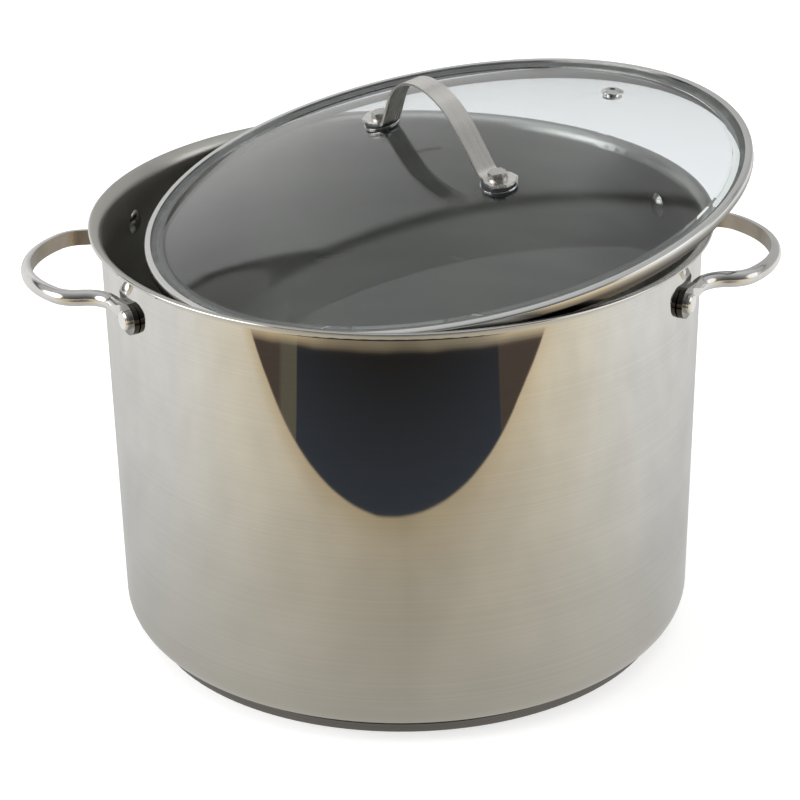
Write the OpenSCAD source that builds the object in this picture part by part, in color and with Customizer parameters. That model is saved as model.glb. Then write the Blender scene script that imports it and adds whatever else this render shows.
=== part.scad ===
// Water bath canner: a stainless pot with a sandwich base and two riveted side handles,
// a domed glass lid set ajar on the rim, and a wire jar rack with two fold-up bails inside.
// Millimetres, +Z up. The origin is the middle of the base's underside.

/* [Pot] */
// Height of the rim over the table
pot_h = 243; // [190:1:300]
// Inside width of the pot just under the flared rim
bore_d = 329.6; // [270:0.1:400]
// How much narrower the inside is at the bottom than under the rim
draft = 7.6; // [0:0.1:12]
// Sheet thickness of the pot
wall_t = 0.9; // [0.7:0.1:1.6]
// Outside radius of the bottom corner
corner_r = 18; // [12:1:24]
// Radius of the rim's outward sweep
flare_r = 6.3; // [5:0.1:8]
// Thickness of the rolled edge of the rim
bead_t = 1.8; // [1.4:0.1:2.4]

/* [Base] */
// Width of the sandwich disc under the pot
base_d = 296.6; // [220:0.1:330]
// Height of the disc, from the table to the pot's underside
base_h = 5.4; // [4:0.1:8]
// Sheet thickness of the disc's cap
cap_t = 0.6; // [0.4:0.1:1]
// Open seam between the cap's edge and the pot
seam = 0.8; // [0.4:0.1:1.5]

/* [Side handles] */
// How far a handle stands out past the rim
handle_out = 38; // [30:1:55]
// Half the clear width between a handle's two arms
arm_half = 44.2; // [36:0.1:52]
// Radius of the grip's long outer sweep, on its flat inner face
grip_r = 57.2; // [50:0.1:70]
// Radius of the elbows between grip and arms, on the flat inner face
elbow_r = 15.2; // [12:0.1:20]
// Radius where an arm turns along the wall, on the flat face
root_r = 20; // [14:1:22]
// Height of the handle bar
bar_h = 9; // [7:0.1:11]
// Thickness of the handle bar, from its flat face to its crown
bar_t = 5.5; // [4.5:0.1:6]
// Height of the bar's middle over the rivets
bar_rise = 2; // [0:0.1:3]
// Turn of the left handle about the pot's axis
left_turn = 4.5; // [-6:0.1:6]

/* [Rivets] */
// Depth of the rivets below the rim
rivet_drop = 26.2; // [24:0.1:40]
// Half the distance between the two rivets of a handle
rivet_half = 72.4; // [66:0.1:80]
// Thickness of a handle's riveted pad
pad_t = 3; // [2.4:0.1:4]
// Radius of a pad's round end
pad_r = 8.5; // [7:0.1:10]
// Shank width of a rivet
rivet_d = 6; // [5:0.1:7]
// Width of a rivet's outer head
head_d = 10.6; // [9:0.1:12]
// Height of a rivet's outer head
head_h = 3.2; // [2:0.1:4]
// Width of a rivet's domed head inside the pot
dome_d = 14; // [11:0.1:16]
// Height of a rivet's domed head
dome_h = 2.6; // [2:0.1:4]

/* [Lid] */
// How far the lid's edge stays inside the rim's edge when the lid is level
lid_inset = 1.7; // [1:0.1:3]
// Height of the lid's steel band
band_h = 6; // [5:0.1:8]
// Sheet thickness of the band
band_t = 0.7; // [0.5:0.1:1]
// Width of the band's lip over the glass
lip_w = 4; // [3:0.1:6]
// Gap around the band's skirt when it sits in the pot
skirt_gap = 1.1; // [0.6:0.1:2]
// Depth of the skirt below the band
skirt_drop = 6.2; // [4:0.1:7]
// Width of the glass's flat margin, from the lid's edge to the dome
margin_w = 11; // [9:0.5:20]
// Rise of the glass dome over its margin
glass_rise = 24; // [16:0.5:32]

/* [Lid handle] */
// Distance between the two bolts of the lid handle
bolt_span = 124.5; // [110:0.5:140]
// Turn of the lid handle about the lid's axis
strap_turn = -85; // [-180:1:180]
// Width of the strap
strap_w = 11.6; // [10:0.1:16]
// Thickness of the strap
strap_t = 1.6; // [1.2:0.1:2.4]
// Height of the arch's crown over its feet
strap_rise = 38.4; // [34:0.1:46]
// Radius of the arch
arch_r = 48; // [44:0.5:52]
// Slope of the arch's legs
leg_slope = 54; // [48:1:58]
// Radius where a leg turns into its foot
ankle_r = 7; // [5:0.5:9]
// Width of a foot at its bolt
foot_w = 17; // [14:0.1:20]
// Length of a foot past its bolt
toe = 12; // [9:0.5:15]

/* [Lid fittings] */
// Width of the bolt shanks
bolt_d = 5; // [4:0.1:6]
// Width of a bolt's hexagon head, corner to corner
hex_d = 10; // [9:0.1:11]
// Height of a bolt's hexagon head
hex_h = 3.6; // [2.5:0.1:5]
// Width of the flange under a bolt's head
flange_d = 11.2; // [10.4:0.1:12]
// Width of the rubber gaskets
gasket_d = 19; // [16:0.5:22]
// Thickness of a gasket
gasket_t = 1.6; // [1.4:0.1:4]
// Width of the steel seat washers
seat_d = 20.4; // [18:0.1:24]
// Thickness of the steel washers
washer_t = 0.8; // [0.5:0.1:1.2]
// Distance of the steam vent from the lid's middle
vent_at = 119; // [90:1:135]
// Turn of the vent about the lid's axis
vent_turn = 7.5; // [-180:0.5:180]
// Width of the vent's eyelet
vent_d = 13; // [10:0.1:16]
// Width of the vent's steam hole
steam_d = 3.4; // [2:0.1:5]

/* [Lid pose] */
// Slope of the lid as it lies ajar on the rim
lid_tilt = 10.4; // [6:0.1:12]
// Direction in which the lid rises
lid_turn = 25.2; // [0:0.1:90]
// How far the lid is pushed off the pot's middle, along its rise
lid_push = 27.9; // [24:0.1:32]
// Gap between the lid and the rim where they come closest
lid_gap = 0.6; // [0.4:0.1:2]

/* [Jar rack] */
// Gap between the rack's edge and the pot's wall
rack_gap = 11; // [9:0.5:20]
// Height of the rack's rings over the pot's floor
rack_stand = 18; // [14:0.5:30]
// Thickness of the ring wire
ring_wire = 4.4; // [3:0.1:5]
// Thickness of the cross wire
cross_wire = 3.6; // [3:0.1:5]
// Number of rings
rings = 4; // [3:1:6]
// Distance between rings
ring_step = 38; // [24:1:46]
// Thickness of the bail wire
bail_wire = 3.5; // [3:0.1:4]
// Half the width of a bail
bail_half = 38; // [30:1:45]
// Length of a bail from its pivot to its grip
bail_len = 124; // [90:1:128]
// Running gap around a bail's pivot
pivot_gap = 0.1; // [0.05:0.01:0.2]

/* [Hidden] */
$fn = 96;

steel = "#c9c6c0";
satin = "#a9a7a3";
alloy = "#b5b8bb";
glass = [0.80, 0.86, 0.87, 0.35];
rubber = "#2c3136";
wire = "#b9bcc0";

far = 1000;          // longer than anything in the model, for half planes
snug = 0.05;         // gap around a shank in its hole
rest_gap = 0.3;      // gap between two bodies at rest
touch = 0.02;        // gap between two pieces of one body that press on each other
tuck = 0.03;         // how much thinner a bend is than the straight pieces that it runs into
lap = 1;             // how many degrees further a bend turns, inside those pieces
wire_fn = 32;        // sides of a wire's circle
dome_fn = 720;       // sides of the dome's circles

// Pot
bore_r = bore_d / 2;
rim_r = bore_r + flare_r + bead_t / 2;
floor_r = bore_r - draft / 2;
flat_r = floor_r + wall_t - corner_r;
wall_z0 = base_h + corner_r;
wall_z1 = pot_h - flare_r;
floor_z = base_h + wall_t;
rivet_z = pot_h - rivet_drop;

function wall_in(z) = floor_r + (bore_r - floor_r) * (z - wall_z0) / (wall_z1 - wall_z0);

// Handle, on the flat inner face of its bar
pad_at = wall_in(rivet_z + pad_r) + wall_t + touch;
pad_angle = asin(rivet_half / pad_at);
root_turn = 90 - pad_angle;
grip_x = rim_r + handle_out - bar_t - grip_r;
elbow_y = arm_half - elbow_r;
elbow_x = grip_x + sqrt(pow(grip_r - elbow_r, 2) - pow(elbow_y, 2));
elbow_a = atan2(elbow_y, elbow_x - grip_x);
root_y = arm_half + root_r;
root_end_y = root_y - root_r * cos(root_turn);
root_x = (pad_at - root_end_y * sin(pad_angle)) / cos(pad_angle) + root_r * sin(root_turn);
root_end_x = root_x - root_r * sin(root_turn);
pad_narrow = 0.75;   // share of its run over which a pad narrows to the bar
pad_run = norm([root_end_x - pad_at * cos(pad_angle), root_end_y - pad_at * sin(pad_angle)]);
nose_gap = 1.5;      // between a rivet's head and the end of the bar's run-out
nose_run = pad_run - head_d / 2 - nose_gap;
nose_r = (pow(nose_run, 2) + pow(bar_t - pad_t, 2)) / (2 * (bar_t - pad_t));

// Lid, in its own frame: the middle of the band's underside, +Z up through the dome
lid_r = rim_r - lid_inset;
skirt_r = bore_r - skirt_gap;
glass_gap = 0.2;     // between the glass's edge and the band
glass_r = lid_r - band_t - glass_gap;
glass_t = band_h - 2 * band_t;
dome_r = lid_r - margin_w;
dome_out = (pow(dome_r, 2) + pow(glass_rise, 2)) / (2 * glass_rise);
dome_z = band_h - band_t + glass_rise - dome_out;
bolt_at = bolt_span / 2;
bolt_end = 3;        // how far a bolt reaches past the lower washer
nut_h = 3.4;         // height of a cap nut
nut_floor = 0.35;    // thickness of a cap nut's closed end
flange_t = 0.9;      // thickness of the flange under a bolt's head
washer_d = gasket_d - 3;
barrel_d = vent_d - 5;

function glass_top(r) = dome_z + sqrt(pow(dome_out, 2) - r * r);
function glass_under(r) = dome_z + sqrt(pow(dome_out - glass_t, 2) - r * r);

foot_z = glass_top(bolt_at) + washer_t + gasket_t;
under_z = glass_under(bolt_at) - gasket_t;
nut_z = under_z - washer_t;
strap_mid = arch_r - strap_t / 2;
arch_z = foot_z + strap_t / 2 + strap_rise - strap_mid;
leg_top = [strap_mid * sin(leg_slope), arch_z + strap_mid * cos(leg_slope)];
ankle_z = foot_z + strap_t / 2 + ankle_r;
leg_len = (leg_top[1] - ankle_z + ankle_r * cos(leg_slope)) / sin(leg_slope);
ankle_x = leg_top[0] + leg_len * cos(leg_slope) + ankle_r * sin(leg_slope);

// How high the tilted lid lies: its edge just clears the sweep of the rim all the way across.
// At distance r from the pot's axis, sweep(r) is the rim's height and edge(r) the lid edge's,
// both measured from the rim's top and from the lid's middle.
function sweep(r) = flare_r * (sin(acos(min(1, (bore_r + flare_r - r) / flare_r))) - 1);
function edge(r) = tan(lid_tilt) * ((r * r - lid_r * lid_r - lid_push * lid_push) / (2 * lid_push));
lid_z = pot_h + lid_gap + max([for (i = [0:40]) let (r = bore_r + flare_r * i / 40) sweep(r) - edge(r)]);

// Rack
rack_r = wall_in(floor_z + rack_stand) - rack_gap;
rack_z = floor_z + rest_gap + rack_stand;
weld = 0.8;          // how deep two welded wires sink into each other
cross_z = rack_z - (ring_wire + cross_wire) / 2 + weld;
eye_out = 4;         // outside radius of an eye
eye_w = 6;           // width of an eye along its pivot
eye_gap = 4;         // from the bail's side wire to its eye
eye_x = bail_half + eye_gap + eye_w / 2;
pin_out = 1.5;       // how far a bail's end stands out of its eye
pivot_y = sqrt(rack_r * rack_r - eye_x * eye_x);
pivot_z = rack_z + ring_wire / 2 + eye_out - weld;
floor_margin = 8;    // how far the legs stay inside the edge of the pot's flat floor
leg_margin = 6;      // how far the legs stay inside the outer ring
leg_at = min(flat_r - floor_margin, rack_r - leg_margin);
shoe_h = 1.2;        // height of the wider shoe under a leg

// Part of a ring: the quarter that faces the signs given
module quarter(r_in, r_out, sx, sy) {
    intersection() {
        difference() {
            circle(r_out);
            circle(r_in);
        }
        translate([sx < 0 ? -far : 0, sy < 0 ? -far : 0])
            square(far);
    }
}

module pot_profile() {
    translate([0, base_h])
        square([flat_r, wall_t]);
    translate([flat_r, wall_z0])
        quarter(corner_r - wall_t, corner_r, 1, -1);
    polygon([[floor_r, wall_z0], [floor_r + wall_t, wall_z0],
             [bore_r + wall_t, wall_z1], [bore_r, wall_z1]]);
    translate([bore_r + flare_r, wall_z1])
        quarter(flare_r - wall_t, flare_r, -1, 1);
    translate([bore_r + flare_r, pot_h - bead_t / 2])
        circle(d = bead_t);
}

// Where each rivet stands: turns its child from +X to the rivet's own radius
module at_rivet(turn, side) {
    rotate([0, 0, turn + side * pad_angle])
        translate([0, 0, rivet_z])
            children();
}

module pot_body() {
    color(steel)
        difference() {
            rotate_extrude()
                pot_profile();
            for (turn = [0, 180 + left_turn], side = [-1, 1])
                at_rivet(turn, side)
                    translate([bore_r / 2, 0, 0])
                        rotate([0, 90, 0])
                            cylinder(d = rivet_d + 2 * snug, h = bore_r);
        }
}

module base_core() {
    color(alloy)
        translate([0, 0, cap_t])
            cylinder(r = base_d / 2 - cap_t, h = base_h - cap_t);
}

module base_cap() {
    color(satin)
        difference() {
            cylinder(d = base_d, h = base_h - seam);
            translate([0, 0, cap_t])
                cylinder(r = base_d / 2 - cap_t, h = base_h);
        }
}

// The bar's cross-section: flat face on the Y axis, crown toward +X
module bar_section(thinner = 0) {
    intersection() {
        translate([bar_t - bar_h / 2, 0])
            circle(d = bar_h - 2 * thinner);
        translate([thinner, -bar_h])
            square([2 * bar_t, 2 * bar_h]);
    }
}

// A bent piece of bar about the Z axis from one angle to another, its crown outward or inward
module bar_bend(r, from, to, thinner = 0, inward = false) {
    rotate([0, 0, from])
        rotate_extrude(angle = to - from)
            translate([r, 0])
                mirror([inward ? 1 : 0, 0])
                    bar_section(thinner);
}

// One side of a handle past its grip: an elbow, an arm, the root and the riveted pad
module handle_arm() {
    translate([elbow_x, elbow_y, 0])
        bar_bend(elbow_r, elbow_a - lap, 90 + lap, tuck);
    translate([root_x, arm_half, 0])
        rotate([90, 0, 90])
            linear_extrude(elbow_x - root_x)
                bar_section();
    translate([root_x, root_y, 0])
        bar_bend(root_r, 270 - root_turn - lap, 270 + lap, tuck, inward = true);
    // along the wall: the run-out of the bar, then the pad on its rivet
    rotate([0, 0, pad_angle])
        translate([pad_at, 0, 0]) {
            intersection() {
                translate([0, -pad_run, 0])
                    rotate([-90, 0, 0])
                        linear_extrude(nose_run)
                            bar_section();
                translate([bar_t - nose_r, -pad_run, -bar_h])
                    cylinder(r = nose_r, h = 2 * bar_h);
            }
            translate([0, 0, -bar_rise])
                rotate([90, 0, 90])
                    linear_extrude(pad_t)
                        pad_outline();
        }
}

// The pad seen along its rivet: a round end that narrows to the bar
module pad_outline() {
    difference() {
        union() {
            circle(pad_r);
            polygon([[0, -pad_r], [0, pad_r], [-pad_run * pad_narrow, bar_rise + bar_h / 2],
                     [-pad_run, bar_rise + bar_h / 2], [-pad_run, bar_rise - bar_h / 2],
                     [-pad_run * pad_narrow, bar_rise - bar_h / 2]]);
        }
        circle(d = rivet_d + 2 * snug);
    }
}

module handle(turn) {
    color(steel)
        rotate([0, 0, turn])
            translate([0, 0, rivet_z + bar_rise]) {
                translate([grip_x, 0, 0])
                    bar_bend(grip_r, -elbow_a, elbow_a);
                handle_arm();
                mirror([0, 1, 0])
                    handle_arm();
            }
}

module left_handle() { handle(180 + left_turn); }
module right_handle() { handle(0); }

// A rivet along +X: its domed head inside the pot, its shank and its flat head on the pad
module rivet(turn, side) {
    seat = sqrt(pow(wall_in(rivet_z - dome_d / 2), 2) - pow(dome_d / 2, 2)) - touch;
    ball_r = (pow(dome_d / 2, 2) + pow(dome_h, 2)) / (2 * dome_h);
    head_at = pad_at + pad_t;
    edge_cut = 0.8;
    color(steel)
        at_rivet(turn, side)
            rotate([0, 90, 0]) {
                intersection() {
                    translate([0, 0, seat - dome_h + ball_r])
                        sphere(ball_r);
                    translate([0, 0, seat - dome_h])
                        cylinder(d = dome_d, h = dome_h);
                }
                translate([0, 0, seat])
                    cylinder(d = rivet_d, h = head_at - seat);
                translate([0, 0, head_at]) {
                    cylinder(d = head_d, h = head_h - edge_cut);
                    translate([0, 0, head_h - edge_cut])
                        cylinder(d1 = head_d, d2 = head_d - 2 * edge_cut, h = edge_cut);
                }
            }
}

module left_rivet_front() { rivet(180 + left_turn, 1); }
module left_rivet_rear() { rivet(180 + left_turn, -1); }
module right_rivet_front() { rivet(0, -1); }
module right_rivet_rear() { rivet(0, 1); }

// Puts its child from the lid's own frame onto the pot, ajar
module on_lid() {
    rotate([0, 0, lid_turn])
        translate([lid_push, 0, lid_z])
            rotate([0, -lid_tilt, 0])
                rotate([0, 0, -lid_turn])
                    children();
}

// Puts its child over one of the two bolts, in the strap's own frame; side 1 is the front one
module at_bolt(side) {
    rotate([0, 0, lid_turn + strap_turn])
        translate([side * bolt_at, 0, 0])
            children();
}

// Tilts its child to the dome's own slope at the steam vent
module at_vent() {
    rotate([0, 0, lid_turn + vent_turn])
        translate([0, 0, dome_z])
            rotate([0, asin(vent_at / dome_out), 0])
                translate([0, 0, dome_out])
                    children();
}

// The dome in section between two of its radii, as far out as reach
module dome_slice(r_in, r_out, reach) {
    intersection() {
        translate([0, dome_z])
            difference() {
                circle(r_out, $fn = dome_fn);
                circle(r_in, $fn = dome_fn);
            }
        square([reach, 2 * glass_rise + band_h]);
    }
}

module lid_glass() {
    color(glass)
        on_lid()
            difference() {
                rotate_extrude() {
                    dome_slice(dome_out - glass_t, dome_out, dome_r);
                    translate([dome_r, band_t])
                        square([glass_r - dome_r, glass_t]);
                }
                for (side = [-1, 1])
                    at_bolt(side)
                        cylinder(d = bolt_d + 2 * snug, h = foot_z);
                at_vent()
                    translate([0, 0, -3 * glass_t])
                        cylinder(d = barrel_d + 2 * snug, h = 4 * glass_t);
            }
}

// The band in section: a channel with rounded outer corners around the glass's edge,
// and a skirt that drops into the pot when the lid is level
module band_profile() {
    round_r = band_h / 4;
    difference() {
        union() {
            translate([lid_r - round_r, round_r])
                circle(round_r);
            translate([lid_r - round_r, band_h - round_r])
                circle(round_r);
            translate([lid_r - band_h, round_r])
                square([band_h, band_h - 2 * round_r]);
            translate([lid_r - lip_w, band_h / 2])
                square([lip_w - round_r, band_h / 2]);
            translate([skirt_r - band_t, 0])
                square([lid_r - round_r - skirt_r + band_t, band_h / 2]);
            translate([skirt_r - band_t, -skirt_drop])
                square([band_t, skirt_drop + band_t]);
        }
        translate([dome_r, band_t])
            square([lid_r - band_t - dome_r, glass_t]);
    }
}

module lid_band() {
    color(steel)
        on_lid()
            rotate_extrude()
                band_profile();
}

// A sector of a thin arc in the plane of the strap's side, from one angle to another
module strap_arc(r, from, to) {
    intersection() {
        difference() {
            circle(r + strap_t / 2 - tuck);
            circle(r - strap_t / 2 + tuck);
        }
        polygon([[0, 0], for (a = [from - lap, (from + to) / 2, to + lap]) far * [cos(a), sin(a)]]);
    }
}

// A leg of the strap from the side, and the ankle that turns it into its foot
module strap_leg() {
    translate(leg_top)
        rotate(-leg_slope)
            translate([0, -strap_t / 2])
                square([leg_len, strap_t]);
    translate([ankle_x, ankle_z])
        strap_arc(ankle_r, 270 - leg_slope, 270 - lap);
}

// A foot from above: it widens from the strap to its bolt and ends in a blunt point
module foot_outline() {
    waist = bolt_at - flange_d / 2 - 0.5;  // where the foot starts to widen
    taper = 5;                             // length of the two slanted sides of its point
    blunt = 2;                             // half the width of the point's end
    side = foot_w / 2;
    back = ankle_x - 0.5;                  // where the foot starts, just inside the ankle's bend
    polygon([[back, -strap_w / 2], [waist, -strap_w / 2], [bolt_at, -side],
             [bolt_at + toe - taper, -side], [bolt_at + toe, -blunt], [bolt_at + toe, blunt],
             [bolt_at + toe - taper, side], [bolt_at, side],
             [waist, strap_w / 2], [back, strap_w / 2]]);
}

// Turns a shape drawn from the strap's side into metal of the strap's width
module strap_wide() {
    translate([0, strap_w / 2, 0])
        rotate([90, 0, 0])
            linear_extrude(strap_w)
                children();
}

module strap_half() {
    strap_wide()
        strap_leg();
    difference() {
        translate([0, 0, foot_z])
            linear_extrude(strap_t)
                foot_outline();
        translate([bolt_at, 0, 0])
            cylinder(d = bolt_d + 2 * snug, h = far);
    }
}

module lid_strap() {
    color(steel)
        on_lid()
            rotate([0, 0, lid_turn + strap_turn]) {
                strap_wide()
                    translate([0, arch_z])
                        strap_arc(strap_mid, 90 - leg_slope, 90 + leg_slope);
                strap_half();
                mirror([1, 0, 0])
                    strap_half();
            }
}

module lid_bolt(side) {
    color(steel)
        on_lid()
            at_bolt(side) {
                translate([0, 0, nut_z - bolt_end])
                    cylinder(d = bolt_d, h = foot_z + strap_t - nut_z + bolt_end);
                translate([0, 0, foot_z + strap_t]) {
                    cylinder(d = flange_d, h = flange_t);
                    cylinder(d = hex_d, h = hex_h, $fn = 6);
                }
            }
}

// The space over a plane that leans with the dome at a bolt and crosses the bolt's axis at z
module over_lean(side, z) {
    translate([0, 0, z])
        rotate([0, side * asin(bolt_at / dome_out), 0])
            translate([-far / 2, -far / 2, 0])
                cube(far);
}

// A round piece about a bolt's axis with the bolt's hole through it
module bolt_ring(d, z0, z1) {
    difference() {
        translate([0, 0, z0])
            cylinder(d = d, h = z1 - z0);
        cylinder(d = bolt_d + 2 * snug, h = 2 * far, center = true);
    }
}

// The gasket fills the space between the strap's foot and the dished washer below it
module lid_gasket(side) {
    seat_top = dome_z + sqrt(pow(dome_out + washer_t + 2 * touch, 2) - pow(bolt_at, 2));
    color(rubber)
        on_lid()
            at_bolt(side)
                intersection() {
                    bolt_ring(gasket_d, foot_z - 2 * gasket_t, foot_z);
                    over_lean(side, seat_top);
                }
}

// A thin steel washer between gasket and glass, dished to the dome
module lid_seat(side) {
    color(steel)
        on_lid()
            difference() {
                intersection() {
                    at_bolt(side)
                        cylinder(d = seat_d, h = foot_z);
                    rotate_extrude()
                        dome_slice(dome_out + touch, dome_out + washer_t + touch, bolt_at + seat_d);
                }
                at_bolt(side)
                    cylinder(d = bolt_d + 2 * snug, h = far);
            }
}

// The rubber pad under the glass: its top leans with the dome, whose hollow its edge just meets,
// and its underside is level
module lid_pad(side) {
    hollow = pow(gasket_d / 2, 2) / (2 * (dome_out - glass_t));
    color(rubber)
        on_lid()
            at_bolt(side)
                difference() {
                    bolt_ring(gasket_d, under_z, under_z + 2 * gasket_t);
                    over_lean(side, under_z + gasket_t - hollow - touch);
                }
}

// The steel washer below the pad
module lid_washer(side) {
    color(steel)
        on_lid()
            at_bolt(side)
                bolt_ring(washer_d, nut_z, under_z);
}

// The hexagon cap nut on a bolt's end
module lid_nut(side) {
    color(steel)
        on_lid()
            at_bolt(side)
                translate([0, 0, nut_z - nut_h])
                    difference() {
                        cylinder(d = hex_d, h = nut_h, $fn = 6);
                        translate([0, 0, nut_floor])
                            cylinder(d = bolt_d + 2 * snug, h = far);
                    }
}

module lid_bolt_front() { lid_bolt(1); }
module lid_bolt_rear() { lid_bolt(-1); }
module lid_gasket_front() { lid_gasket(1); }
module lid_gasket_rear() { lid_gasket(-1); }
module lid_seat_front() { lid_seat(1); }
module lid_seat_rear() { lid_seat(-1); }
module lid_pad_front() { lid_pad(1); }
module lid_pad_rear() { lid_pad(-1); }
module lid_washer_front() { lid_washer(1); }
module lid_washer_rear() { lid_washer(-1); }
module lid_nut_front() { lid_nut(1); }
module lid_nut_rear() { lid_nut(-1); }

// The steam vent's eyelet: a barrel through the glass with a coned collar above and a lip below
module vent_eyelet() {
    collar_gap = 0.4;  // of the collar over the dome, which is highest at the collar's middle
    collar_t = 0.6;    // the collar's straight edge
    cone_h = 1.2;
    lip_gap = 0.6;     // of the lip under the glass
    lip_t = 0.8;
    lip_z = -glass_t - lip_gap - lip_t;
    color(steel)
        on_lid()
            at_vent()
                difference() {
                    union() {
                        translate([0, 0, lip_z]) {
                            cylinder(d = barrel_d, h = collar_gap + collar_t / 2 - lip_z);
                            cylinder(d = vent_d - 2, h = lip_t);
                        }
                        translate([0, 0, collar_gap]) {
                            cylinder(d = vent_d, h = collar_t);
                            translate([0, 0, collar_t])
                                cylinder(d1 = vent_d, d2 = barrel_d, h = cone_h);
                        }
                    }
                    cylinder(d = steam_d, h = far, center = true);
                }
}

// A straight wire between two points
module rod(a, b, d) {
    run = b - a;
    translate(a)
        rotate([0, acos(run[2] / norm(run)), atan2(run[1], run[0])])
            cylinder(d = d, h = norm(run), $fn = wire_fn);
}

module rack_rings() {
    color(wire)
        for (i = [0:rings - 1])
            translate([0, 0, rack_z])
                rotate_extrude()
                    translate([rack_r - i * ring_step, 0])
                        circle(d = ring_wire, $fn = wire_fn);
}

// Three wires under the rings, welded where they cross
module rack_cross_wires() {
    color(wire)
        for (turn = [0, 60, 120])
            rotate([0, 0, turn])
                rod([-rack_r, 0, cross_z], [rack_r, 0, cross_z], cross_wire);
}

// Six short legs under the cross wires, each with a small foot
module rack_legs() {
    color(wire)
        for (turn = [0:60:300])
            rotate([0, 0, turn])
                translate([leg_at, 0, floor_z + rest_gap]) {
                    cylinder(d = cross_wire, h = cross_z - floor_z - rest_gap, $fn = wire_fn);
                    cylinder(d = 2 * cross_wire, h = shoe_h, $fn = wire_fn);
                }
}

// Four eyes on the outer ring, in which the bails turn
module rack_eyes() {
    color(wire)
        for (sx = [-1, 1], sy = [-1, 1])
            translate([sx * eye_x - eye_w / 2, sy * pivot_y, pivot_z])
                rotate([0, 90, 0])
                    difference() {
                        cylinder(r = eye_out, h = eye_w);
                        cylinder(d = bail_wire + 2 * pivot_gap, h = far, center = true);
                    }
}

// Half of a bail folded flat toward the rack's middle, its pivot on the X axis at the origin
module bail_half_wire() {
    bend = 12;
    rod([bail_half, 0, 0], [eye_x + eye_w / 2 + pin_out, 0, 0], bail_wire);
    translate([bail_half, 0, 0])
        sphere(d = bail_wire, $fn = wire_fn);
    rod([bail_half, 0, 0], [bail_half, bail_len - bend, 0], bail_wire);
    translate([bail_half - bend, bail_len - bend, 0])
        rotate_extrude(angle = 90)
            translate([bend, 0])
                circle(d = bail_wire, $fn = wire_fn);
    rod([0, bail_len, 0], [bail_half - bend, bail_len, 0], bail_wire);
}

module rack_bail(side) {
    color(wire)
        translate([0, side * pivot_y, pivot_z])
            scale([1, -side, 1]) {
                bail_half_wire();
                mirror([1, 0, 0])
                    bail_half_wire();
            }
}

module rack_bail_front() { rack_bail(-1); }
module rack_bail_rear() { rack_bail(1); }

pot_body();
base_core();
base_cap();
left_handle();
right_handle();
left_rivet_front();
left_rivet_rear();
right_rivet_front();
right_rivet_rear();
lid_glass();
lid_band();
lid_strap();
lid_bolt_front();
lid_bolt_rear();
lid_gasket_front();
lid_gasket_rear();
lid_seat_front();
lid_seat_rear();
lid_pad_front();
lid_pad_rear();
lid_washer_front();
lid_washer_rear();
lid_nut_front();
lid_nut_rear();
vent_eyelet();
rack_rings();
rack_cross_wires();
rack_legs();
rack_eyes();
rack_bail_front();
rack_bail_rear();
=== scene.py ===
"""The looks of a water bath canner: steel pot, glass lid set ajar, riveted handles, wire jar rack."""

from math import cos, radians, sin

import bpy
from mathutils import Matrix, Vector


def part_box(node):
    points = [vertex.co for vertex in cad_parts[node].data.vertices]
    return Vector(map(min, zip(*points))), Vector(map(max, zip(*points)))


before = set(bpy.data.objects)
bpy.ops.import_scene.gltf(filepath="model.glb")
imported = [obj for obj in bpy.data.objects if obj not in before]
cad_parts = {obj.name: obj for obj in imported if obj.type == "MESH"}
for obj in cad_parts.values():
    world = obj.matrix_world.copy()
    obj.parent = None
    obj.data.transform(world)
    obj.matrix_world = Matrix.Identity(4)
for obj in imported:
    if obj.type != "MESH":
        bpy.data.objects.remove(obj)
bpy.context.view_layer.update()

# The lid's own frame, as the CAD lays it on the rim: it rises toward LID_TURN by LID_TILT. The strap
# handle stands across it, turned by STRAP_TURN.
LID_TURN = radians(25.2)
LID_TILT = radians(10.4)
STRAP_TURN = LID_TURN - radians(85)

RIM_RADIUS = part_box("pot_body")[1].x

# The floor lies just under the pot's base, and the card that reflections see just over it.
FLOOR_LEVEL = -0.0004
CARD_LEVEL = 0.0003

# The distances from the middle, in metres, between which the table past its front edge turns from the
# dark space into the far floor.
FAR_FLOOR = (0.645, 0.665)


def middle(node):
    low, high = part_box(node)
    return (low + high) / 2


# ---------------------------------------------------------------- camera

def make_camera(distance=1.634, elevation=24.681, roll=-0.8176, lens=129.3, shift=(-0.005, 0.0154)):
    """A long lens in front of the pot, aimed at the middle of its height and rolled by a hair: metres,
    degrees and a lens in millimetres."""
    pot_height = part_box("pot_body")[1].z
    aim = Vector((0, 0, pot_height / 2))
    tilt = radians(elevation)
    back = Vector((0, -cos(tilt), sin(tilt)))
    up = Vector((0, sin(tilt), cos(tilt)))
    right = Vector((1, 0, 0))
    turn = radians(roll)
    side = cos(turn) * right + sin(turn) * up
    top = cos(turn) * up - sin(turn) * right
    place = aim + back * distance
    data = bpy.data.cameras.new("camera")
    data.lens = lens
    data.shift_x, data.shift_y = shift
    camera = bpy.data.objects.new("camera", data)
    rows = [[side[i], top[i], back[i], place[i]] for i in range(3)]
    camera.matrix_world = Matrix(rows + [[0, 0, 0, 1]])
    bpy.context.scene.collection.objects.link(camera)
    bpy.context.scene.camera = camera


# ---------------------------------------------------------------- shader building

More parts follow.
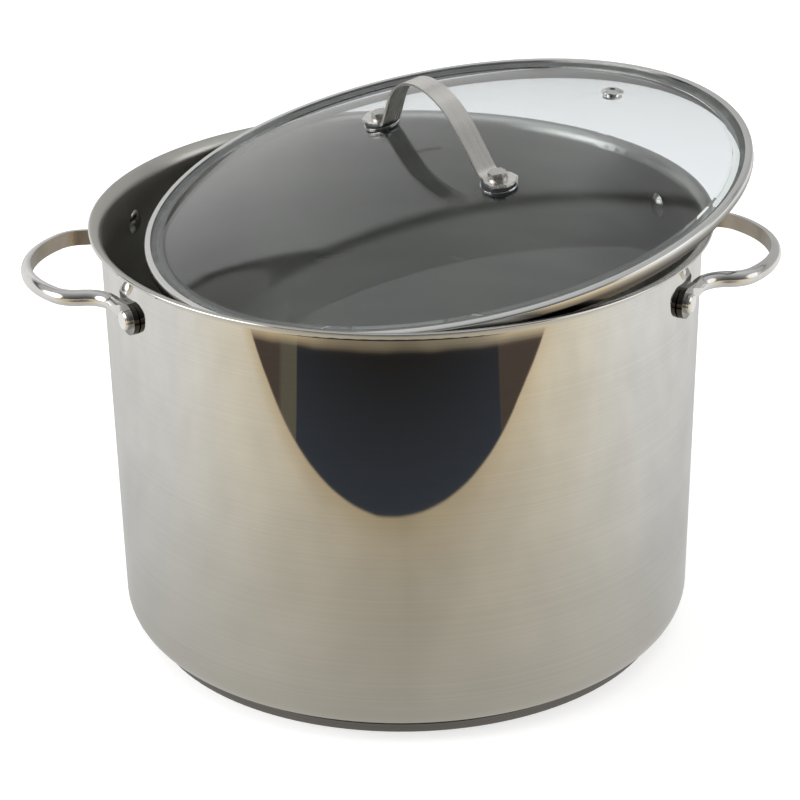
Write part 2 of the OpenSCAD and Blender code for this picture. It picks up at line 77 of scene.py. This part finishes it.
class Shader:
    """A node tree that is built by calls, so that a pattern reads like a formula."""

    def __init__(self, tree):
        self.tree = tree

    def feed(self, socket, value):
        if isinstance(value, bpy.types.NodeSocket):
            self.tree.links.new(value, socket)
        elif value is not None:
            socket.default_value = value

    def node(self, kind, *inputs, out=0, **settings):
        node = self.tree.nodes.new("ShaderNode" + kind)
        for name, value in settings.items():
            setattr(node, name, value)
        for socket, value in zip(node.inputs, inputs):
            self.feed(socket, value)
        return node.outputs[out]

    def math(self, operation, *values):
        return self.node("Math", *values, operation=operation)

    def vector_math(self, operation, *values, out=0):
        return self.node("VectorMath", *values, operation=operation, out=out)

    def scaled(self, vector, x, y, z):
        """The vector with each of its parts multiplied."""
        return self.vector_math("MULTIPLY", vector, (x, y, z))

    def split(self, vector):
        node = self.tree.nodes.new("ShaderNodeSeparateXYZ")
        self.feed(node.inputs[0], vector)
        return node.outputs[0], node.outputs[1], node.outputs[2]

    def joined(self, x, y, z=0.0):
        return self.node("CombineXYZ", x, y, z)

    def from_axis(self, vector):
        """How far a place is from the vertical axis."""
        return self.vector_math("LENGTH", self.scaled(vector, 1, 1, 0), out=1)

    def noise(self, vector, scale=1.0, detail=3.0, rough=0.5):
        return self.node("TexNoise", vector, None, scale, detail, rough)

    def spread(self, value, low, high, to_low=0.0, to_high=1.0):
        """The value moved from one range to another, and held inside it."""
        return self.node("MapRange", value, low, high, to_low, to_high)

    def stretched(self, noise, to_low=0.0, to_high=1.0):
        """A noise's middle values, spread over the whole of a range."""
        return self.spread(noise, 0.3, 0.7, to_low, to_high)

    def ramp(self, value, *stops):
        """A colour for each value; a stop is (place, colour)."""
        node = self.tree.nodes.new("ShaderNodeValToRGB")
        elements = node.color_ramp.elements
        while len(elements) < len(stops):
            elements.new(0.5)
        for element, (place, colour) in zip(elements, stops):
            element.position = place
            element.color = (*colour, 1)
        self.feed(node.inputs[0], value)
        return node.outputs[0]

    def blend(self, factor, a, b):
        """A colour between two colours or colour sockets."""
        node = self.tree.nodes.new("ShaderNodeMix")
        node.data_type = "RGBA"
        self.feed(node.inputs[0], factor)
        for socket, value in zip(node.inputs[6:8], (a, b)):
            self.feed(socket, value if isinstance(value, bpy.types.NodeSocket) else (*value, 1))
        return node.outputs[2]

    def lerp(self, factor, a, b):
        """A number between two numbers or number sockets."""
        return self.node("Mix", factor, None, a, b)

    def bump(self, height, distance):
        """A relief: a height of 1 stands out by distance, in metres."""
        node = self.tree.nodes.new("ShaderNodeBump")
        for name, value in (("Strength", 1.0), ("Distance", distance), ("Height", height)):
            self.feed(node.inputs[name], value)
        return node.outputs[0]


class Surface(Shader):
    """A material with one Principled shader."""

    def __init__(self, name, **sockets):
        self.material = bpy.data.materials.new(name)
        self.material.use_nodes = True
        super().__init__(self.material.node_tree)
        self.shader = self.tree.nodes["Principled BSDF"]
        self.set(**sockets)

    def set(self, **sockets):
        """Feeds sockets by name: base_color stands for Base Color."""
        for name, value in sockets.items():
            words = name.replace("_", " ").title().replace("Ior", "IOR")
            if isinstance(value, tuple) and len(value) == 3:
                value = (*value, 1)
            self.feed(self.shader.inputs[words], value)

    def place(self):
        """The point's place in the shared frame at rest, in metres."""
        return self.node("TexCoord", out=3)

    def lid_place(self, turn=LID_TURN):
        """The point's place in the lid's frame: Z along the lid's axis, X toward the angle turn."""
        moved = self.vector_math("SUBTRACT", self.place(), tuple(middle("lid_band")))
        flat = self.turned(moved, (0, 0, 1), -LID_TURN)
        level = self.turned(flat, (0, 1, 0), LID_TILT)
        return self.turned(level, (0, 0, 1), LID_TURN - turn)

    def turned(self, vector, axis, angle):
        return self.node("VectorRotate", vector, (0, 0, 0), axis, angle, rotation_type="AXIS_ANGLE")

    def facing(self):
        """The surface's own direction."""
        return self.node("NewGeometry", out=1)


# ---------------------------------------------------------------- steel and other materials

def pot_steel():
    """Outside: polished, with fine marks around the wall. Inside: satin, brushed around."""
    m = Surface("pot_steel", metallic=1.0, anisotropic_rotation=0.25)
    place = m.place()
    outward = m.vector_math("DOT_PRODUCT", m.scaled(place, 1, 1, 0), m.facing(), out=1)
    outside = m.math("GREATER_THAN", outward, 0.0)
    fine = m.noise(m.scaled(place, 4, 4, 1100), detail=1)
    broad = m.noise(m.scaled(place, 7, 7, 55), detail=2)
    cloud = m.noise(place, scale=9, detail=2)
    tone = m.lerp(0.35, fine, broad)
    outer = m.blend(m.spread(tone, 0.35, 0.65), (0.685, 0.672, 0.645), (0.715, 0.702, 0.675))
    inner = m.blend(m.stretched(broad), (0.575, 0.565, 0.525), (0.65, 0.64, 0.60))
    polish = m.spread(m.lerp(0.5, broad, cloud), 0.35, 0.65, 0.018, 0.034)
    satin = m.stretched(broad, 0.27, 0.33)
    marks = m.math("MULTIPLY", fine, outside)
    around = m.node("Tangent", direction_type="RADIAL", axis="Z")
    m.set(base_color=m.blend(outside, inner, outer), roughness=m.lerp(outside, satin, polish),
          anisotropic=m.lerp(outside, 0.8, 0.0), normal=m.bump(marks, 0.00000028), tangent=around)
    return m.material


def turned_steel(name, colour, rough):
    """Steel finished in rings about the pot's axis."""
    m = Surface(name, metallic=1.0)
    place = m.place()
    up = m.split(place)[2]
    fine = m.noise(m.joined(m.from_axis(place), up), scale=420, detail=4)
    cloud = m.noise(place, scale=24, detail=3)
    darker = tuple(0.84 * part for part in colour)
    m.set(base_color=m.blend(m.stretched(fine), darker, colour),
          roughness=m.spread(m.math("ADD", fine, cloud), 0.7, 1.3, rough * 0.8, rough * 1.35),
          normal=m.bump(fine, 0.000006))
    return m.material


def handle_steel():
    """Polished outer face with faint drawing marks. The satin inner face is painted browner and darker, a
    painted reflection of the floor and the pot. The edges of the pads that lie against the wall are painted
    dark, painted shade of the gap."""
    m = Surface("handle_steel", metallic=1.0)
    place = m.place()
    x, y = m.split(place)[:2]
    opening = m.math("MULTIPLY", m.math("SIGN", x), middle("right_handle").x)
    from_opening = m.joined(m.math("SUBTRACT", x, opening), y)
    outward = m.vector_math("DOT_PRODUCT", m.vector_math("NORMALIZE", from_opening), m.facing(), out=1)
    outer_face = m.spread(outward, -0.50, -0.25)
    lines = m.noise(m.scaled(place, 60, 60, 700), detail=3)
    cloud = m.noise(place, scale=45, detail=3)
    # The inner face's browner, darker colour is a painted reflection of the floor and the pot.
    inner = m.blend(m.stretched(cloud), (0.43, 0.375, 0.31), (0.60, 0.55, 0.485))
    outer = m.blend(m.stretched(cloud), (0.70, 0.69, 0.675), (0.82, 0.81, 0.795))
    satin = m.stretched(cloud, 0.26, 0.34)
    polish = m.stretched(cloud, 0.10, 0.17)
    pad_back = RIM_RADIUS - 0.0037    # the pads' backs lie this far within the rim's edge
    # Inside pad_back the near-black colour is painted shade of the gap between the pads and the wall.
    clear = m.spread(m.from_axis(place), pad_back, pad_back + 0.001)
    m.set(base_color=m.blend(clear, (0.10, 0.092, 0.085), m.blend(outer_face, inner, outer)),
          roughness=m.lerp(outer_face, satin, polish), normal=m.bump(lines, 0.000008))
    return m.material


def strap_steel():
    """Satin strap, brushed along its length, with faint darker bands across it that are painted reflections.
    """
    m = Surface("strap_steel", metallic=1.0)
    along, across, up = m.split(m.lid_place(STRAP_TURN))
    fine = m.noise(m.scaled(m.joined(along, across, up), 18, 900, 30), detail=3)
    bands = m.noise(m.joined(along, 0.0), scale=60, detail=1)
    colour = m.blend(m.stretched(fine), (0.80, 0.775, 0.73), (0.90, 0.88, 0.845))
    # The darker bands across the strap are painted reflections.
    m.set(base_color=m.blend(m.spread(bands, 0.52, 0.7, 0.0, 0.35), colour, (0.46, 0.43, 0.38)),
          roughness=m.stretched(fine, 0.22, 0.30), normal=m.bump(fine, 0.000015))
    return m.material


def rivet_steel():
    """Bright flat heads outside; the domes inside the pot are painted duller and darker, painted shade."""
    m = Surface("rivet_steel", metallic=1.0)
    place = m.place()
    wall_inside = RIM_RADIUS - 0.006    # between the domes inside and the heads outside
    outside = m.spread(m.from_axis(place), wall_inside, wall_inside + 0.002)
    cloud = m.stretched(m.noise(place, scale=180, detail=3))
    # The domes inside the pot are painted darker: painted shade inside the pot.
    painted_shade_dome = m.blend(cloud, (0.44, 0.43, 0.40), (0.56, 0.55, 0.52))
    head = m.blend(cloud, (0.82, 0.815, 0.80), (0.93, 0.925, 0.915))
    m.set(base_color=m.blend(outside, painted_shade_dome, head), roughness=m.spread(cloud, 0.0, 1.0, 0.16, 0.26),
          normal=m.bump(cloud, 0.00001))
    return m.material


def band_steel():
    """The lid's rolled band, painted light by height: a bright painted highlight on its crown, and painted
    shade making it duller and darker down its side and skirt.
    """
    m = Surface("band_steel", metallic=1.0)
    x, y, z = m.split(m.lid_place())
    fine = m.noise(m.scaled(m.joined(z, x, y), 500, 12, 12), detail=2)
    height = m.spread(z, -0.004, 0.004)
    # The tone by height is painted light: a painted highlight on the crown, and painted shade down the side
    # and skirt.
    tone = m.ramp(height, (0.0, (0.10, 0.09, 0.08)), (0.55, (0.16, 0.145, 0.13)),
                  (0.80, (0.42, 0.41, 0.39)), (0.97, (0.80, 0.80, 0.79)))
    m.set(base_color=m.blend(m.stretched(fine, 0.0, 0.18), tone, (0.30, 0.29, 0.27)),
          roughness=m.stretched(fine, 0.10, 0.17))
    return m.material


def machined_steel(name, colour, rough):
    """Small turned or cold-headed pieces: a cloudy polish with short scratches."""
    m = Surface(name, metallic=1.0)
    place = m.place()
    cloud = m.noise(place, scale=180, detail=4, rough=0.6)
    scratch = m.noise(m.scaled(place, 300, 900, 1500), detail=2)
    marks = m.math("ADD", cloud, m.math("MULTIPLY", scratch, 0.4))
    darker = tuple(0.78 * part for part in colour)
    m.set(base_color=m.blend(m.stretched(cloud), darker, colour),
          roughness=m.stretched(cloud, rough * 0.75, rough * 1.4), normal=m.bump(marks, 0.00002))
    return m.material


def lid_glass():
    """Clear tempered glass with a grey-blue cast, greener along its edge."""
    m = Surface("lid_glass", ior=1.46, specular_ior_level=0.5)
    edge = m.spread(m.from_axis(m.lid_place()), 0.158, 0.162)
    m.set(base_color=m.blend(edge, (0.70, 0.73, 0.745), (0.62, 0.67, 0.65)), roughness=0.0,
          transmission_weight=m.lerp(edge, 1.0, 0.92))
    return m.material


def rubber():
    """Dark grey silicone with a fine moulded grain."""
    m = Surface("gasket_rubber", specular_ior_level=0.4)
    grain = m.noise(m.place(), scale=1600, detail=3)
    cloud = m.noise(m.place(), scale=120, detail=2)
    m.set(base_color=m.blend(cloud, (0.030, 0.036, 0.044), (0.055, 0.062, 0.072)),
          roughness=m.stretched(grain, 0.45, 0.65), normal=m.bump(grain, 0.00003))
    return m.material


def paint(material, *nodes):
    """Gives CAD nodes one material."""
    for node in nodes:
        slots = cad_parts[node].data.materials
        slots.clear()
        slots.append(material)


def dress_cad():
    paint(pot_steel(), "pot_body")
    # The base's core and cap are painted dark. The near-black core is painted shade in the seam's gap, and
    # the darker cap is painted shade low at the pot's base.
    paint(turned_steel("core_alloy", (0.02, 0.02, 0.022), 0.55), "base_core")
    paint(turned_steel("base_steel", (0.26, 0.25, 0.245), 0.30), "base_cap")
    paint(handle_steel(), "left_handle", "right_handle")
    paint(rivet_steel(), "left_rivet_front", "left_rivet_rear", "right_rivet_front", "right_rivet_rear")
    paint(band_steel(), "lid_band")
    paint(strap_steel(), "lid_strap")
    paint(machined_steel("bolt_steel", (0.70, 0.695, 0.68), 0.24),
          "lid_bolt_front", "lid_bolt_rear", "lid_nut_front", "lid_nut_rear")
    paint(machined_steel("washer_steel", (0.80, 0.80, 0.79), 0.12),
          "lid_seat_front", "lid_seat_rear", "lid_washer_front", "lid_washer_rear")
    paint(machined_steel("vent_steel", (0.80, 0.80, 0.78), 0.10), "vent_eyelet")
    paint(rubber(), "lid_gasket_front", "lid_gasket_rear", "lid_pad_front", "lid_pad_rear")
    paint(machined_steel("rack_wire", (0.74, 0.74, 0.73), 0.22),
          *(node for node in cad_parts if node.startswith("rack_")))
    paint(lid_glass(), "lid_glass")
    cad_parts["lid_glass"].visible_shadow = False


# ---------------------------------------------------------------- studio

def plane(name, low, high, z):
    """A flat card on the floor, given by its lowest and highest corners."""
    mesh = bpy.data.meshes.new(name)
    corners = [(low[0], low[1], z), (high[0], low[1], z), (high[0], high[1], z), (low[0], high[1], z)]
    mesh.from_pydata(corners, [], [(0, 1, 2, 3)])
    card = bpy.data.objects.new(name, mesh)
    bpy.context.scene.collection.objects.link(card)
    return card


def make_floor():
    """A pale floor that glows a little, so that it meets the pale surroundings without an edge."""
    floor = plane("floor", (-8, -8), (8, 8), FLOOR_LEVEL)
    m = Surface("floor", specular_ior_level=0.1)
    cloud = m.noise(m.place(), scale=3, detail=2)
    m.set(base_color=m.blend(cloud, (0.72, 0.72, 0.72), (0.74, 0.74, 0.74)), roughness=0.9,
          emission_color=(1.0, 1.0, 1.0), emission_strength=0.60)
    floor.data.materials.append(m.material)


def table_colour(g, x, y, beyond, sideways, reach):
    """The table: pale at both sides, dimmer and warmer in front of the pot, warmest along its front edge,
    and dim again on the floor far past it."""
    aside = g.math("ABSOLUTE", x)
    grey = g.ramp(aside, (0.0, (0.435, 0.435, 0.435)), (0.22, (0.59, 0.59, 0.59)),
                  (0.38, (0.74, 0.74, 0.74)), (0.60, (0.87, 0.87, 0.87)))
    nearness = g.math("MULTIPLY_ADD", aside, 0.12, g.math("ADD", y, 0.5))
    warmth = g.ramp(nearness, (0.10, (1.0, 0.85, 0.60)), (0.18, (1.0, 0.91, 0.73)),
                    (0.30, (1.0, 0.95, 0.82)), (0.42, (1.0, 0.985, 0.92)), (0.55, (1.0, 1.0, 0.98)))
    cloud = g.stretched(g.noise(g.joined(x, y), scale=9, detail=2), 0.95, 1.04)
    table = g.vector_math("SCALE", g.vector_math("MULTIPLY", grey, warmth), None, None, cloud)
    ahead = g.spread(g.math("ABSOLUTE", sideways), 0.45, 0.70, 1.0, 0.0)
    far = g.math("MULTIPLY", g.spread(reach, *FAR_FLOOR), ahead)
    table = g.blend(far, table, g.scaled(table, 0.55, 0.56, 0.60))
    fringe = g.math("MULTIPLY", g.spread(beyond, -0.035, -0.001), g.spread(x, -0.5, 0.2, 1.0, 0.25))
    return g.blend(fringe, table, g.scaled(table, 0.86, 0.80, 0.70))


def space_colour(g, beyond, sideways):
    """The dark space past the table's front edge: bluish, browner at both sides, with a post at its left."""
    space = g.ramp(g.spread(beyond, 0.0, 0.22), (0.0, (0.040, 0.046, 0.058)), (1.0, (0.020, 0.019, 0.018)))
    sides = g.math("MAXIMUM", g.spread(sideways, 0.60, 0.61), g.spread(sideways, -0.86, -0.84, 1.0, 0.0))
    post = g.math("MULTIPLY", g.spread(sideways, -0.705, -0.695, 1.0, 0.0),
                  g.spread(sideways, -0.88, -0.84, 0.0, 1.0))
    space = g.blend(sides, space, (0.082, 0.062, 0.052))
    return g.blend(post, space, (0.120, 0.110, 0.082))


def make_table_card():
    """What polished steel sees of the studio's table and of the space past its front edge, which runs a
    little askew. Only reflections see this card."""
    card = plane("table_reflection", (-6, -6), (6, 6), CARD_LEVEL)
    for kind in ("camera", "diffuse", "transmission", "volume_scatter", "shadow"):
        setattr(card, "visible_" + kind, False)
    material = bpy.data.materials.new("table_reflection")
    material.use_nodes = True
    g = Shader(material.node_tree)
    g.tree.nodes.clear()
    x, y = g.split(g.node("TexCoord", out=3))[:2]
    front_edge = g.spread(x, -0.06, 0.34, -0.409, -0.442)    # its y, from left to right
    beyond = g.math("SUBTRACT", front_edge, y)
    sideways = g.math("DIVIDE", x, g.math("MULTIPLY", y, -1.0))
    reach = g.vector_math("LENGTH", g.joined(x, y), out=1)
    dark = g.math("MULTIPLY", g.spread(beyond, -0.0015, 0.0025), g.spread(reach, *FAR_FLOOR, 1.0, 0.0))
    colour = g.blend(dark, table_colour(g, x, y, beyond, sideways, reach), space_colour(g, beyond, sideways))
    out = g.tree.nodes.new("ShaderNodeOutputMaterial")
    g.tree.links.new(g.node("Emission", colour, 1.0), out.inputs[0])
    card.data.materials.append(material)


def make_world():
    """The studio as a room: a pale wall behind, brighter on its left, that ends in a dark gap under the
    ceiling, an umbrella before it, a soft ceiling, and a bright panel on each side. Sideways and upward
    say where a direction meets the wall, as shares of the wall's distance."""
    world = bpy.data.worlds.new("studio")
    bpy.context.scene.world = world
    world.use_nodes = True
    g = Shader(world.node_tree)
    direction = g.node("TexCoord", out=0)
    x, y, z = g.split(direction)

    def panel(aim, rim, core, glow):
        """A round light around the way of aim, which brightens from its rim to its core."""
        return g.spread(g.vector_math("DOT_PRODUCT", direction, aim, out=1), rim, core, 0.0, glow)

    depth = g.math("MAXIMUM", y, 0.05)
    sideways = g.math("DIVIDE", x, depth)
    upward = g.math("DIVIDE", z, depth)
    wall = g.spread(sideways, -0.45, 0.05, 0.85, 0.48)
    wall_top = g.spread(sideways, -0.62, -0.48, 0.68, 0.94)
    gap_low = g.spread(g.math("SUBTRACT", upward, wall_top), -0.02, 0.03)
    gap_high = g.spread(upward, 1.0, 1.06)
    ceiling = g.math("MULTIPLY", g.spread(z, 0.2, 0.95, 0.40, 0.62), g.spread(y, -0.9, 0.2, 0.22, 1.0))
    level = g.lerp(gap_high, g.lerp(gap_low, wall, 0.05), ceiling)
    from_umbrella = g.joined(g.math("ADD", sideways, 0.80), g.math("ADD", upward, -0.87))
    umbrella = g.spread(g.vector_math("LENGTH", from_umbrella, out=1), 0.19, 0.22, 1.0, 0.0)
    level = g.lerp(umbrella, level, 0.42)
    left_panel = panel((-0.91, -0.24, 0.33), 0.89, 0.94, 2.6)
    right_panel = panel((0.93, -0.20, 0.30), 0.91, 0.94, 0.9)
    level = g.math("ADD", level, g.math("ADD", left_panel, right_panel))
    back = g.tree.nodes["Background"]
    g.feed(back.inputs[0], g.blend(g.spread(z, 0.0, 0.8), (1.0, 0.99, 0.97), (0.985, 0.995, 1.0)))
    g.feed(back.inputs[1], level)


def area_light(name, place, aim, size, power, colour=(1, 1, 1)):
    """A soft light that itself doesn't show in reflections: metres and watts."""
    data = bpy.data.lights.new(name, "AREA")
    data.shape = "RECTANGLE"
    data.size, data.size_y = size
    data.energy = power
    data.color = colour
    light = bpy.data.objects.new(name, data)
    light.location = place
    light.rotation_euler = (Vector(aim) - Vector(place)).to_track_quat("-Z", "Y").to_euler()
    light.visible_glossy = False
    bpy.context.scene.collection.objects.link(light)


def make_studio():
    make_floor()
    make_table_card()
    make_world()
    area_light("overhead", (0, 0.1, 2.3), (0, 0, 0.1), (2.8, 2.4), 18)
    area_light("left_panel", (-1.9, -0.2, 1.0), (0, 0, 0.15), (0.9, 1.4), 7)
    area_light("right_panel", (1.9, -0.1, 0.9), (0, 0, 0.15), (0.8, 1.2), 5, (1, 0.985, 0.96))
    bpy.context.scene.view_settings.view_transform = "Standard"


make_camera()
make_studio()
dress_cad()
